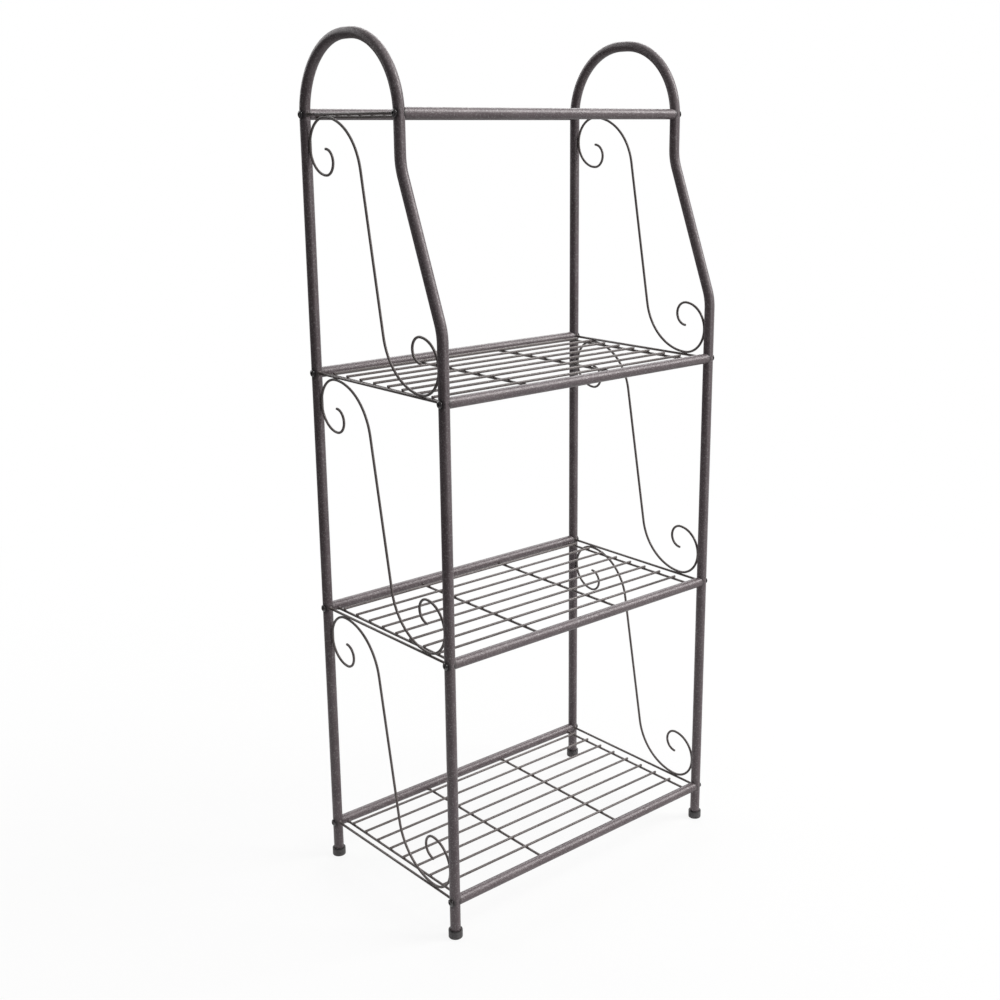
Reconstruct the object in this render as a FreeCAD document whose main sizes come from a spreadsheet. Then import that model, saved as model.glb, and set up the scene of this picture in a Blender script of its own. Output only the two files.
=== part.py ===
import FreeCAD, Part
import math
import os
import Sketcher

# Tiered plant stand: two bent tube side frames joined by four shelves of wire between tube rails.
# X runs along the rails, -Y is the front with the sloping legs, Z is up and the floor is at zero.

SIZES = [
    ("frame_spacing", "536", "side frame to side frame, between tube axes"),
    ("frame_depth", "316", "back leg to front leg, between tube axes"),
    ("top_depth", "232", "back leg to front leg above the slope"),
    ("tube_diameter", "16", "side frame tube"),
    ("tube_wall", "1", "side frame tube wall"),
    ("lower_shelf_height", "60", "floor to the lowest rail axis"),
    ("tier_pitch", "379.5", "rail axis to rail axis"),
    ("arch_rise", "107", "top rail axis to the arch's axis"),
    ("arch_bend_radius", "110", "bends of the arch, on the tube axis"),
    ("slope_drop", "53.5", "top rail axis to where the front leg starts to slope"),
    ("slope_rise", "80", "upper rail axis to where the slope ends"),
    ("slope_bend_radius", "80", "bends at both ends of the slope"),
    ("rail_diameter", "16", "shelf rail tube"),
    ("rail_wall", "1", "shelf rail tube wall"),
    ("cope_clearance", "0.15", "rail's saddle cut to the leg"),
    ("top_cope_clearance", "0.45", "same at the top shelf, where the arch begins"),
    ("rung_wire", "4", "rung between the legs of a side frame"),
    ("scroll_wire", "4", "scroll wire"),
    ("scroll_bowl_radius", "88", "wide curve of the scroll"),
    ("scroll_loop_radius", "40.5", "curve between rung and leg"),
    ("scroll_curl_radius", "18.5", "open curl at each end of the scroll"),
    ("deck_wire", "4", "lengthwise shelf wire"),
    ("deck_pitch", "35.1", "lengthwise wires of the three lower shelves"),
    ("deck_first", "23.4", "back rail axis to the first wire"),
    ("deck_margin", "40", "least room from the last wire to the front rail axis"),
    ("top_deck_pitch", "29", "lengthwise wires of the top shelf"),
    ("top_deck_first", "29", "back rail axis to the first wire, top shelf"),
    ("top_deck_margin", "25", "least room to the front rail axis, top shelf"),
    ("deck_overhang", "2", "lengthwise wire past the end wire's axis"),
    ("cross_wire", "4", "wires under the lengthwise wires"),
    ("end_wire_inset", "17", "tube axis of the side frame to the end wire"),
    ("weld_gap", "0.05", "gap left between welded pieces"),
    ("screw_diameter", "6", "shelf screw shank"),
    ("thread_engagement", "14", "screw length inside the rail"),
    ("head_diameter", "11.4", "domed screw head"),
    ("head_height", "2.8", "domed screw head"),
    ("head_edge", "0.5", "straight rim below the dome"),
    ("socket_flats", "4", "hexagon socket in the head, across flats"),
    ("socket_depth", "2.2", "hexagon socket below the top of the dome"),
    ("hole_clearance", "0.2", "screw in the leg's hole, on the radius"),
    ("thread_clearance", "0.05", "screw in the insert, on the radius"),
    ("insert_length", "16", "threaded insert in the rail's end"),
    ("insert_setback", "0.5", "leg's face to the insert"),
    ("insert_clearance", "0.05", "insert in the rail's bore, on the radius"),
    ("cap_wall", "2.7", "foot cap wall"),
    ("cap_height", "13", "foot cap"),
    ("cap_floor", "3", "foot cap below the tube"),
    ("cap_clearance", "0.1", "foot cap round the tube, on the radius"),
    ("cap_edge", "1.2", "rounding of the cap's lower edge"),
    ("cap_rim", "0.6", "rounding of the cap's upper edge"),
]

DERIVED = [
    ("half_spacing", "=frame_spacing / 2"),
    ("back_leg", "=frame_depth / 2"),
    ("top_leg", "=frame_depth / 2 - top_depth"),
    ("shelf_one", "=lower_shelf_height"),
    ("shelf_two", "=lower_shelf_height + tier_pitch"),
    ("shelf_three", "=lower_shelf_height + 2 * tier_pitch"),
    ("shelf_four", "=lower_shelf_height + 3 * tier_pitch"),
    ("arch_axis", "=shelf_four + arch_rise"),
    ("deck_count", "=floor((frame_depth - deck_first - deck_margin) / deck_pitch) + 1"),
    ("top_deck_count", "=floor((top_depth - top_deck_first - top_deck_margin) / top_deck_pitch) + 1"),
    ("deck_length", "=frame_spacing - 2 * end_wire_inset + 2 * deck_overhang"),
    ("end_wire_place", "=frame_spacing / 2 - end_wire_inset"),
    ("cross_wire_place", "=(frame_spacing / 2 - end_wire_inset) / 3"),
    ("cross_wire_drop", "=(deck_wire + cross_wire) / 2 + weld_gap"),
    ("rung_length", "=frame_depth - tube_diameter - 2 * weld_gap"),
    ("top_rung_length", "=top_depth - tube_diameter - 2 * weld_gap"),
    ("scroll_reach", "=(frame_depth - tube_diameter - scroll_wire) / 2 - weld_gap"),
    ("scroll_height", "=(tier_pitch - rung_wire - scroll_wire) / 2 - weld_gap"),
    ("screw_length", "=tube_diameter + thread_engagement"),
    ("insert_diameter", "=rail_diameter - 2 * rail_wall - 2 * insert_clearance"),
    ("insert_bore", "=screw_diameter + 2 * thread_clearance"),
    ("cap_bore", "=tube_diameter + 2 * cap_clearance"),
    ("cap_diameter", "=tube_diameter + 2 * cap_clearance + 2 * cap_wall"),
]

doc = FreeCAD.newDocument("plant_stand")
sheet = doc.addObject("Spreadsheet::Sheet", "Sizes")
for row, (alias, value, meaning) in enumerate(SIZES, start=1):
    sheet.set(f"A{row}", meaning)
    sheet.set(f"B{row}", value)
    sheet.setAlias(f"B{row}", alias)
doc.recompute()
for row, (alias, formula) in enumerate(DERIVED, start=len(SIZES) + 1):
    sheet.set(f"B{row}", formula)
    sheet.setAlias(f"B{row}", alias)
    doc.recompute()

SUBPARTS = []


def size(alias):
    """Value of one size, for a sketch's first guess."""
    return float(getattr(sheet, alias))


def new_body(label, many=False):
    """An empty body that becomes one node; many allows separate solids in it."""
    body = doc.addObject("PartDesign::Body", label)
    body.Label = label
    if many:
        body.AllowCompound = True
    SUBPARTS.append(body)
    return body


def plane(body, role):
    """One of the body's own origin planes or axes."""
    return next(f for f in body.Origin.OriginFeatures if f.Role == role)


def new_sketch(body, name, role):
    sketch = body.newObject("Sketcher::SketchObject", f"{body.Name}_{name}")
    sketch.AttachmentSupport = [(plane(body, role), "")]
    sketch.MapMode = "FlatFace"
    return sketch


def place(body, x="0", y="0", z="0"):
    """Put a body where the given formulas say."""
    for axis, formula in (("x", x), ("y", y), ("z", z)):
        body.setExpression(f"Placement.Base.{axis}", formula)


def bound(sketch, formula, kind, *refs):
    """A dimension in a sketch that follows a formula."""
    index = sketch.addConstraint(Sketcher.Constraint(kind, *refs))
    sketch.setExpression(f"Constraints[{index}]", formula)
    return index


def add_circle(sketch, across, up, diameter, guess):
    """A circle at two signed formulas, with its first guess (x, y, diameter)."""
    gx, gy, gd = guess
    circle = sketch.addGeometry(
        Part.Circle(FreeCAD.Vector(gx, gy, 0), FreeCAD.Vector(0, 0, 1), gd / 2), False)
    bound(sketch, diameter, "Diameter", circle, gd)
    if across is None:
        sketch.addConstraint(Sketcher.Constraint("PointOnObject", circle, 3, -2))
    else:
        bound(sketch, across, "DistanceX", -1, 1, circle, 3, gx)
    if up is None:
        sketch.addConstraint(Sketcher.Constraint("PointOnObject", circle, 3, -1))
    else:
        bound(sketch, up, "DistanceY", -1, 1, circle, 3, gy)
    return circle


def pad(body, sketch, name, length):
    """Extrude a sketch evenly to both sides of its plane."""
    feature = body.newObject("PartDesign::Pad", f"{body.Name}_{name}")
    feature.Profile = sketch
    feature.SideType = "Symmetric"
    feature.setExpression("Length", length)
    return feature


def cut_through(body, sketch, name):
    """Cut a sketch right through the body, to both sides of its plane."""
    feature = body.newObject("PartDesign::Pocket", f"{body.Name}_{name}")
    feature.Profile = sketch
    feature.SideType = "Symmetric"
    feature.Type = "ThroughAll"
    return feature


def line(sketch, start, end):
    return sketch.addGeometry(
        Part.LineSegment(FreeCAD.Vector(*start, 0), FreeCAD.Vector(*end, 0)), False)


def arc(sketch, centre, radius, first, last):
    circle = Part.Circle(FreeCAD.Vector(*centre, 0), FreeCAD.Vector(0, 0, 1), radius)
    return sketch.addGeometry(
        Part.ArcOfCircle(circle, math.radians(first), math.radians(last)), False)


def smooth(sketch, first, first_end, second, second_end):
    """Join two edges end to end without a corner."""
    sketch.addConstraint(Sketcher.Constraint("Tangent", first, first_end, second, second_end))


def slope_guess():
    """Lean of the front leg's slope, in degrees, from its two ends and its bends."""
    reach = size("frame_depth") - size("top_depth")
    drop = size("tier_pitch") - size("slope_drop") - size("slope_rise")
    bend = size("slope_bend_radius")
    # The slope touches two equal circles that lie on either side of it.
    gap = math.hypot(2 * bend - reach, drop)
    return math.degrees(math.asin(2 * bend / gap) - math.atan2(2 * bend - reach, drop))


def side_path(body):
    """Axis of a side frame's tube, from the back foot over the arch to the front foot."""
    path = new_sketch(body, "path", "YZ_Plane")
    back, top, front = size("back_leg"), size("top_leg"), -size("back_leg")
    foot, bend = size("cap_floor"), size("arch_bend_radius")
    spring = size("arch_axis") - bend
    start = size("shelf_four") - size("slope_drop")
    end = size("shelf_three") + size("slope_rise")
    curve = size("slope_bend_radius")
    lean = math.radians(slope_guess())
    upper = (top - curve + curve * math.cos(lean), start - curve * math.sin(lean))
    lower = (front + curve - curve * math.cos(lean), end + curve * math.sin(lean))
    back_leg = line(path, (back, foot), (back, spring))
    back_bend = arc(path, (back - bend, spring), bend, 0, 90)
    crown = line(path, (back - bend, spring + bend), (top + bend, spring + bend))
    front_bend = arc(path, (top + bend, spring), bend, 90, 180)
    upper_leg = line(path, (top, spring), (top, start))
    upper_curve = arc(path, (top - curve, start), curve, -math.degrees(lean), 0)
    slope = line(path, upper, lower)
    lower_curve = arc(path, (front + curve, end), curve, 180 - math.degrees(lean), 180)
    front_leg = line(path, (front, end), (front, foot))
    smooth(path, back_leg, 2, back_bend, 1)
    smooth(path, back_bend, 2, crown, 1)
    smooth(path, crown, 2, front_bend, 1)
    smooth(path, front_bend, 2, upper_leg, 1)
    smooth(path, upper_leg, 2, upper_curve, 2)
    smooth(path, upper_curve, 1, slope, 1)
    smooth(path, slope, 2, lower_curve, 1)
    smooth(path, lower_curve, 2, front_leg, 1)
    for leg in (back_leg, upper_leg, front_leg):
        path.addConstraint(Sketcher.Constraint("Vertical", leg))
    path.addConstraint(Sketcher.Constraint("Horizontal", crown))
    bound(path, "Sizes.arch_bend_radius", "Radius", back_bend, bend)
    bound(path, "Sizes.arch_bend_radius", "Radius", front_bend, bend)
    bound(path, "Sizes.slope_bend_radius", "Radius", upper_curve, curve)
    bound(path, "Sizes.slope_bend_radius", "Radius", lower_curve, curve)
    bound(path, "Sizes.back_leg", "DistanceX", -1, 1, back_leg, 1, back)
    bound(path, "Sizes.cap_floor", "DistanceY", -1, 1, back_leg, 1, foot)
    bound(path, "Sizes.arch_axis", "DistanceY", -1, 1, crown, 1, spring + bend)
    bound(path, "Sizes.top_leg", "DistanceX", -1, 1, upper_leg, 1, top)
    bound(path, "Sizes.shelf_four - Sizes.slope_drop", "DistanceY", -1, 1, upper_leg, 2, start)
    bound(path, "-Sizes.back_leg", "DistanceX", -1, 1, front_leg, 2, front)
    bound(path, "Sizes.shelf_three + Sizes.slope_rise", "DistanceY", -1, 1, front_leg, 1, end)
    bound(path, "Sizes.cap_floor", "DistanceY", -1, 1, front_leg, 2, foot)
    return path


def ring_at_foot(body, name, diameter, guess):
    """A circle at the back foot, where the tube's path starts."""
    ring = new_sketch(body, name, "XY_Plane")
    ring.setExpression("AttachmentOffset.Base.z", "Sizes.cap_floor")
    add_circle(ring, None, "Sizes.back_leg", diameter, (0, size("back_leg"), guess))
    return ring


def side_tube(label, side):
    """One bent tube with the holes for its eight shelf screws."""
    body = new_body(label)
    path = side_path(body)
    outer = ring_at_foot(body, "outer", "Sizes.tube_diameter", size("tube_diameter"))
    inner_size = "Sizes.tube_diameter - 2 * Sizes.tube_wall"
    inner = ring_at_foot(body, "inner", inner_size, size("tube_diameter") - 2 * size("tube_wall"))
    doc.recompute()
    solid = body.newObject("PartDesign::AdditivePipe", f"{body.Name}_tube")
    solid.Profile = outer
    solid.Spine = path
    doc.recompute()
    bore = body.newObject("PartDesign::SubtractivePipe", f"{body.Name}_bore")
    bore.Profile = inner
    bore.Spine = path
    doc.recompute()
    holes = new_sketch(body, "holes", "YZ_Plane")
    hole = "Sizes.screw_diameter + 2 * Sizes.hole_clearance"
    wide = size("screw_diameter") + 2 * size("hole_clearance")
    for shelf in ("shelf_one", "shelf_two", "shelf_three", "shelf_four"):
        front = "top_leg" if shelf == "shelf_four" else "back_leg"
        sign = "" if shelf == "shelf_four" else "-"
        front_guess = size("top_leg") if shelf == "shelf_four" else -size("back_leg")
        add_circle(holes, "Sizes.back_leg", f"Sizes.{shelf}", hole, (size("back_leg"), size(shelf), wide))
        add_circle(holes, f"{sign}Sizes.{front}", f"Sizes.{shelf}", hole, (front_guess, size(shelf), wide))
    cut_through(body, holes, "screw_holes")
    place(body, f"{side}Sizes.half_spacing")
    return body


def rung(label, side, length, middle, height):
    """A straight wire welded between the two legs of a side frame."""
    body = new_body(label)
    section = new_sketch(body, "section", "XZ_Plane")
    add_circle(section, None, None, "Sizes.rung_wire", (0, 0, size("rung_wire")))
    pad(body, section, "wire", length)
    place(body, f"{side}Sizes.half_spacing", middle, height)
    return body


def scroll(label, side, height):
    """An S-shaped wire between two rungs, with an open curl at each end."""
    body = new_body(label)
    path = new_sketch(body, "path", "YZ_Plane")
    bowl, loop, curl = (size(f"scroll_{part}_radius") for part in ("bowl", "loop", "curl"))
    reach, low = size("scroll_reach"), size("scroll_height")
    turn = reach - loop
    # The straight middle touches both bowls and passes through the scroll's centre.
    far = math.hypot(turn, low - bowl)
    lean = math.degrees(math.atan2(low - bowl, turn) + math.asin(bowl / far))
    touch = lean - 90
    joint = (-turn + bowl * math.cos(math.radians(touch)), -low + bowl + bowl * math.sin(math.radians(touch)))
    ends = []
    for way in (1, -1):
        spin = 0 if way == 1 else 180
        curl_arc = arc(path, (-way * turn, way * (-low + 2 * loop - curl)), curl, 270 + spin, 450 + spin)
        loop_arc = arc(path, (-way * turn, way * (-low + loop)), loop, 90 + spin, 270 + spin)
        bowl_arc = arc(path, (-way * turn, way * (-low + bowl)), bowl, 270 + spin, 360 + touch + spin)
        ends.append((curl_arc, loop_arc, bowl_arc))
    middle = line(path, joint, (-joint[0], -joint[1]))
    for (curl_arc, loop_arc, bowl_arc), end, sign in zip(ends, (1, 2), ("-", "")):
        smooth(path, curl_arc, 2, loop_arc, 1)
        smooth(path, loop_arc, 2, bowl_arc, 1)
        smooth(path, bowl_arc, 2, middle, end)
        other = "" if sign == "-" else "-"
        flip = -1 if sign == "-" else 1
        bound(path, "Sizes.scroll_curl_radius", "Radius", curl_arc, curl)
        bound(path, "Sizes.scroll_loop_radius", "Radius", loop_arc, loop)
        bound(path, "Sizes.scroll_bowl_radius", "Radius", bowl_arc, bowl)
        bound(path, f"{sign}(Sizes.scroll_reach - Sizes.scroll_loop_radius)", "DistanceX", -1, 1, loop_arc, 3,
              flip * turn)
        bound(path, f"{sign}(Sizes.scroll_height - Sizes.scroll_loop_radius)", "DistanceY", -1, 1, loop_arc, 3,
              flip * (low - loop))
        path.addConstraint(Sketcher.Constraint("Vertical", loop_arc, 3, bowl_arc, 3))
        path.addConstraint(Sketcher.Constraint("Vertical", loop_arc, 3, curl_arc, 3))
        path.addConstraint(Sketcher.Constraint("Vertical", curl_arc, 3, curl_arc, 1))
    section = new_sketch(body, "section", "XZ_Plane")
    section.setExpression("AttachmentOffset.Base.z", "Sizes.scroll_reach - Sizes.scroll_loop_radius")
    start = "-Sizes.scroll_height + 2 * Sizes.scroll_loop_radius - 2 * Sizes.scroll_curl_radius"
    add_circle(section, None, start, "Sizes.scroll_wire", (0, -low + 2 * loop - 2 * curl, size("scroll_wire")))
    doc.recompute()
    wire = body.newObject("PartDesign::AdditivePipe", f"{body.Name}_wire")
    wire.Profile = section
    wire.Spine = path
    place(body, f"{side}Sizes.half_spacing", "0", height)
    return body


def rail(label, y, height, clearance):
    """A shelf tube along X whose ends are cut to sit on the legs."""
    body = new_body(label)
    section = new_sketch(body, "section", "YZ_Plane")
    inner = size("rail_diameter") - 2 * size("rail_wall")
    add_circle(section, None, None, "Sizes.rail_diameter", (0, 0, size("rail_diameter")))
    add_circle(section, None, None, "Sizes.rail_diameter - 2 * Sizes.rail_wall", (0, 0, inner))
    pad(body, section, "tube", "Sizes.frame_spacing")
    saddle = new_sketch(body, "saddle", "XY_Plane")
    wide = f"Sizes.tube_diameter + 2 * Sizes.{clearance}"
    guess = size("tube_diameter") + 2 * size(clearance)
    add_circle(saddle, "Sizes.half_spacing", None, wide, (size("half_spacing"), 0, guess))
    add_circle(saddle, "-Sizes.half_spacing", None, wide, (-size("half_spacing"), 0, guess))
    cut_through(body, saddle, "saddles")
    place(body, "0", y, height)
    return body


def deck_wires(label, first, pitch, count, y, height):
    """The lengthwise wires of one shelf, evenly spaced from the back rail."""
    body = new_body(label, many=True)
    section = new_sketch(body, "section", "YZ_Plane")
    add_circle(section, f"-Sizes.{first}", None, "Sizes.deck_wire", (-size(first), 0, size("deck_wire")))
    wire = pad(body, section, "wire", "Sizes.deck_length")
    doc.recompute()
    row = body.newObject("PartDesign::LinearPattern", f"{body.Name}_row")
    row.Originals = [wire]
    row.Direction = (plane(body, "Y_Axis"), [""])
    row.Reversed = True
    row.setExpression("Length", f"Sizes.{pitch} * (Sizes.{count} - 1)")
    row.setExpression("Occurrences", f"Sizes.{count}")
    body.Tip = row
    place(body, "0", y, height)
    return body


def cross_wires(label, offset, depth, y, height):
    """A pair of wires under the lengthwise ones, cut to sit against both rails."""
    body = new_body(label, many=True)
    section = new_sketch(body, "section", "XZ_Plane")
    for sign, way in (("", 1), ("-", -1)):
        add_circle(section, f"{sign}Sizes.{offset}", "-Sizes.cross_wire_drop", "Sizes.cross_wire",
                   (way * size(offset), -size("cross_wire_drop"), size("cross_wire")))
    pad(body, section, "wires", f"Sizes.{depth}")
    seats = new_sketch(body, "seats", "YZ_Plane")
    wide = "Sizes.rail_diameter + 2 * Sizes.weld_gap"
    guess = size("rail_diameter") + 2 * size("weld_gap")
    add_circle(seats, f"Sizes.{depth} / 2", None, wide, (size(depth) / 2, 0, guess))
    add_circle(seats, f"-Sizes.{depth} / 2", None, wide, (-size(depth) / 2, 0, guess))
    cut_through(body, seats, "seats")
    place(body, "0", y, height)
    return body


def four_corners(body, features, depth):
    """Repeat features at both ends of both rails of a shelf."""
    doc.recompute()
    corners = body.newObject("PartDesign::MultiTransform", f"{body.Name}_corners")
    corners.Originals = features
    mirrored = body.newObject("PartDesign::Mirrored", f"{body.Name}_mirrored")
    mirrored.MirrorPlane = (plane(body, "YZ_Plane"), [""])
    row = body.newObject("PartDesign::LinearPattern", f"{body.Name}_row")
    row.Direction = (plane(body, "Y_Axis"), [""])
    row.setExpression("Length", f"Sizes.{depth}")
    row.Occurrences = 2
    corners.Transformations = [mirrored, row]
    body.Tip = corners
    return corners


def dome_arc(sketch, rim, crown):
    """An arc from the rim up to the crown on the sketch's X axis, about a point on that axis."""
    centre = (crown[0] ** 2 - rim[0] ** 2 - rim[1] ** 2) / (2 * (crown[0] - rim[0]))
    lean = math.degrees(math.atan2(rim[1], rim[0] - centre))
    edge = arc(sketch, (centre, 0), crown[0] - centre, 0, lean)
    sketch.addConstraint(Sketcher.Constraint("PointOnObject", edge, 3, -1))
    return edge


def half_profile(sketch, points, dome=None):
    """A closed outline for a turned piece, from (formula, guess) pairs for x and radius.

    The edge numbered dome is an arc that ends square to the axis, and the others are straight.
    """
    edges = []
    for number, (here, following) in enumerate(zip(points, points[1:] + points[:1])):
        start, end = ((pair[0][1], pair[1][1]) for pair in (here, following))
        # An arc is drawn from its crown, so its ends are the other way round.
        edges.append((dome_arc(sketch, start, end), 2, 1) if number == dome else (line(sketch, start, end), 1, 2))
    for (here, _, end), (following, start, _) in zip(edges, edges[1:] + edges[:1]):
        sketch.addConstraint(Sketcher.Constraint("Coincident", here, end, following, start))
    for (edge, start, _), (x, radius) in zip(edges, points):
        bound(sketch, x[0], "DistanceX", -1, 1, edge, start, x[1])
        if radius[0] is None:
            sketch.addConstraint(Sketcher.Constraint("PointOnObject", edge, start, -1))
        else:
            bound(sketch, radius[0], "DistanceY", -1, 1, edge, start, radius[1])


def hexagon(sketch, across, flats, guess):
    """A hexagon with two level flats, centred on the sketch's X axis."""
    gx, gd = guess
    reach = gd / math.sqrt(3)
    corners = [(gx + reach * math.cos(k * math.pi / 3), reach * math.sin(k * math.pi / 3)) for k in range(6)]
    edges = [line(sketch, here, following) for here, following in zip(corners, corners[1:] + corners[:1])]
    ring = sketch.addGeometry(
        Part.Circle(FreeCAD.Vector(gx, 0, 0), FreeCAD.Vector(0, 0, 1), reach), True)
    for here, following in zip(edges, edges[1:] + edges[:1]):
        sketch.addConstraint(Sketcher.Constraint("Coincident", here, 2, following, 1))
    for edge in edges:
        sketch.addConstraint(Sketcher.Constraint("PointOnObject", edge, 1, ring))
    for edge in edges[1:]:
        sketch.addConstraint(Sketcher.Constraint("Equal", edges[0], edge))
    sketch.addConstraint(Sketcher.Constraint("Horizontal", edges[1]))
    sketch.addConstraint(Sketcher.Constraint("PointOnObject", ring, 3, -1))
    bound(sketch, across, "DistanceX", -1, 1, ring, 3, gx)
    bound(sketch, flats, "DistanceY", edges[4], 1, edges[1], 2, gd)


def turned(body, sketch, name):
    """Spin a half outline about the sketch's X axis."""
    doc.recompute()
    feature = body.newObject("PartDesign::Revolution", f"{body.Name}_{name}")
    feature.Profile = sketch
    feature.ReferenceAxis = (sketch, ["H_Axis"])
    feature.Angle = 360
    return feature


def screws(label, depth, y, height):
    """The four domed socket screws that hold one shelf, with their heads on the outer faces of the legs."""
    body = new_body(label, many=True)
    outline = new_sketch(body, "outline", "XZ_Plane")
    outline.setExpression("AttachmentOffset.Base.z", f"Sizes.{depth} / 2")
    face = "Sizes.half_spacing + Sizes.tube_diameter / 2"
    seat = size("half_spacing") + size("tube_diameter") / 2
    rim = seat + size("head_edge")
    crown = seat + size("head_height")
    tip = seat - size("screw_length")
    wide, thin = size("head_diameter") / 2, size("screw_diameter") / 2
    points = [
        ((f"{face} - Sizes.screw_length", tip), (None, 0)),
        ((f"{face} - Sizes.screw_length", tip), ("Sizes.screw_diameter / 2", thin)),
        ((face, seat), ("Sizes.screw_diameter / 2", thin)),
        ((face, seat), ("Sizes.head_diameter / 2", wide)),
        ((f"{face} + Sizes.head_edge", rim), ("Sizes.head_diameter / 2", wide)),
        ((f"{face} + Sizes.head_height", crown), (None, 0)),
    ]
    half_profile(outline, points, dome=4)
    screw = turned(body, outline, "screw")
    drive = new_sketch(body, "drive", "YZ_Plane")
    drive.setExpression("AttachmentOffset.Base.z", f"{face} + Sizes.head_height")
    hexagon(drive, f"-Sizes.{depth} / 2", "Sizes.socket_flats", (-size(depth) / 2, size("socket_flats")))
    doc.recompute()
    socket = body.newObject("PartDesign::Pocket", f"{body.Name}_socket")
    socket.Profile = drive
    socket.setExpression("Length", "Sizes.socket_depth")
    four_corners(body, [screw, socket], depth)
    place(body, "0", y, height)
    return body


def inserts(label, depth, y, height):
    """The four threaded inserts inside the ends of one shelf's rails."""
    body = new_body(label, many=True)
    outline = new_sketch(body, "outline", "XZ_Plane")
    outline.setExpression("AttachmentOffset.Base.z", f"Sizes.{depth} / 2")
    outer = "Sizes.half_spacing - Sizes.tube_diameter / 2 - Sizes.insert_setback"
    near = size("half_spacing") - size("tube_diameter") / 2 - size("insert_setback")
    far = near - size("insert_length")
    wide, thin = size("insert_diameter") / 2, size("insert_bore") / 2
    points = [
        ((f"{outer} - Sizes.insert_length", far), ("Sizes.insert_bore / 2", thin)),
        ((f"{outer} - Sizes.insert_length", far), ("Sizes.insert_diameter / 2", wide)),
        ((outer, near), ("Sizes.insert_diameter / 2", wide)),
        ((outer, near), ("Sizes.insert_bore / 2", thin)),
    ]
    half_profile(outline, points)
    plug = turned(body, outline, "insert")
    four_corners(body, [plug], depth)
    place(body, "0", y, height)
    return body


def foot_cap(label, x, y):
    """A cup that closes the foot of a leg."""
    body = new_body(label)
    outline = new_sketch(body, "outline", "XZ_Plane")
    wide, thin = size("cap_diameter") / 2, size("cap_bore") / 2
    floor, tall = size("cap_floor"), size("cap_height")
    corners = [
        (None, None, 0, 0),
        ("Sizes.cap_diameter / 2", None, wide, 0),
        ("Sizes.cap_diameter / 2", "Sizes.cap_height", wide, tall),
        ("Sizes.cap_bore / 2", "Sizes.cap_height", thin, tall),
        ("Sizes.cap_bore / 2", "Sizes.cap_floor", thin, floor),
        (None, "Sizes.cap_floor", 0, floor),
    ]
    edges = []
    for here, following in zip(corners, corners[1:] + corners[:1]):
        edges.append(line(outline, here[2:], following[2:]))
    for here, following in zip(edges, edges[1:] + edges[:1]):
        outline.addConstraint(Sketcher.Constraint("Coincident", here, 2, following, 1))
    for edge, (across, up, gx, gy) in zip(edges, corners):
        if across is None:
            outline.addConstraint(Sketcher.Constraint("PointOnObject", edge, 1, -2))
        else:
            bound(outline, across, "DistanceX", -1, 1, edge, 1, gx)
        if up is None:
            outline.addConstraint(Sketcher.Constraint("PointOnObject", edge, 1, -1))
        else:
            bound(outline, up, "DistanceY", -1, 1, edge, 1, gy)
    doc.recompute()
    cup = body.newObject("PartDesign::Revolution", f"{body.Name}_cup")
    cup.Profile = outline
    cup.ReferenceAxis = (outline, ["V_Axis"])
    cup.Angle = 360
    doc.recompute()
    lower = [f"Edge{i}" for i, e in enumerate(cup.Shape.Edges, 1)
             if e.BoundBox.ZMax < 1e-6 and abs(e.BoundBox.XMax - wide) < 1e-6]
    rounding = body.newObject("PartDesign::Fillet", f"{body.Name}_edge")
    rounding.Base = (cup, lower)
    rounding.setExpression("Radius", "Sizes.cap_edge")
    doc.recompute()
    upper = [f"Edge{i}" for i, e in enumerate(rounding.Shape.Edges, 1)
             if e.BoundBox.ZMin > tall - 1e-6 and abs(e.BoundBox.XMax - wide) < 1e-6]
    rim = body.newObject("PartDesign::Fillet", f"{body.Name}_rim")
    rim.Base = (rounding, upper)
    rim.setExpression("Radius", "Sizes.cap_rim")
    place(body, x, y)
    return body


SHELVES = [
    ("lower", "shelf_one", "frame_depth", "deck"),
    ("middle", "shelf_two", "frame_depth", "deck"),
    ("upper", "shelf_three", "frame_depth", "deck"),
    ("top", "shelf_four", "top_depth", "top_deck"),
]

for name, side in (("left", "-"), ("right", "")):
    side_tube(f"{name}_side_tube", side)
    for shelf, level, depth, deck in SHELVES:
        is_top = shelf == "top"
        length = "Sizes.top_rung_length" if is_top else "Sizes.rung_length"
        middle = "Sizes.back_leg - Sizes.top_depth / 2" if is_top else "0"
        rung(f"{name}_{shelf}_rung", side, length, middle, f"Sizes.{level}")
    for tier, below in (("lower", "shelf_one"), ("middle", "shelf_two"), ("upper", "shelf_three")):
        scroll(f"{name}_{tier}_scroll", side, f"Sizes.{below} + Sizes.tier_pitch / 2")
    foot_cap(f"{name}_back_foot_cap", f"{side}Sizes.half_spacing", "Sizes.back_leg")
    foot_cap(f"{name}_front_foot_cap", f"{side}Sizes.half_spacing", "-Sizes.back_leg")

for shelf, level, depth, deck in SHELVES:
    height = f"Sizes.{level}"
    middle = f"Sizes.back_leg - Sizes.{depth} / 2"
    clearance = "top_cope_clearance" if shelf == "top" else "cope_clearance"
    rail(f"{shelf}_back_rail", "Sizes.back_leg", height, clearance)
    rail(f"{shelf}_front_rail", f"Sizes.back_leg - Sizes.{depth}", height, clearance)
    deck_wires(f"{shelf}_deck_wires", f"{deck}_first", f"{deck}_pitch", f"{deck}_count", "Sizes.back_leg", height)
    cross_wires(f"{shelf}_end_wires", "end_wire_place", depth, middle, height)
    cross_wires(f"{shelf}_cross_wires", "cross_wire_place", depth, middle, height)
    screws(f"{shelf}_screws", depth, middle, height)
    inserts(f"{shelf}_inserts", depth, middle, height)

doc.recompute()
for item in doc.Objects:
    if "Invalid" in item.State or "Error" in item.State:
        raise RuntimeError(f"{item.Label} did not build: {item.State}")

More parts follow.
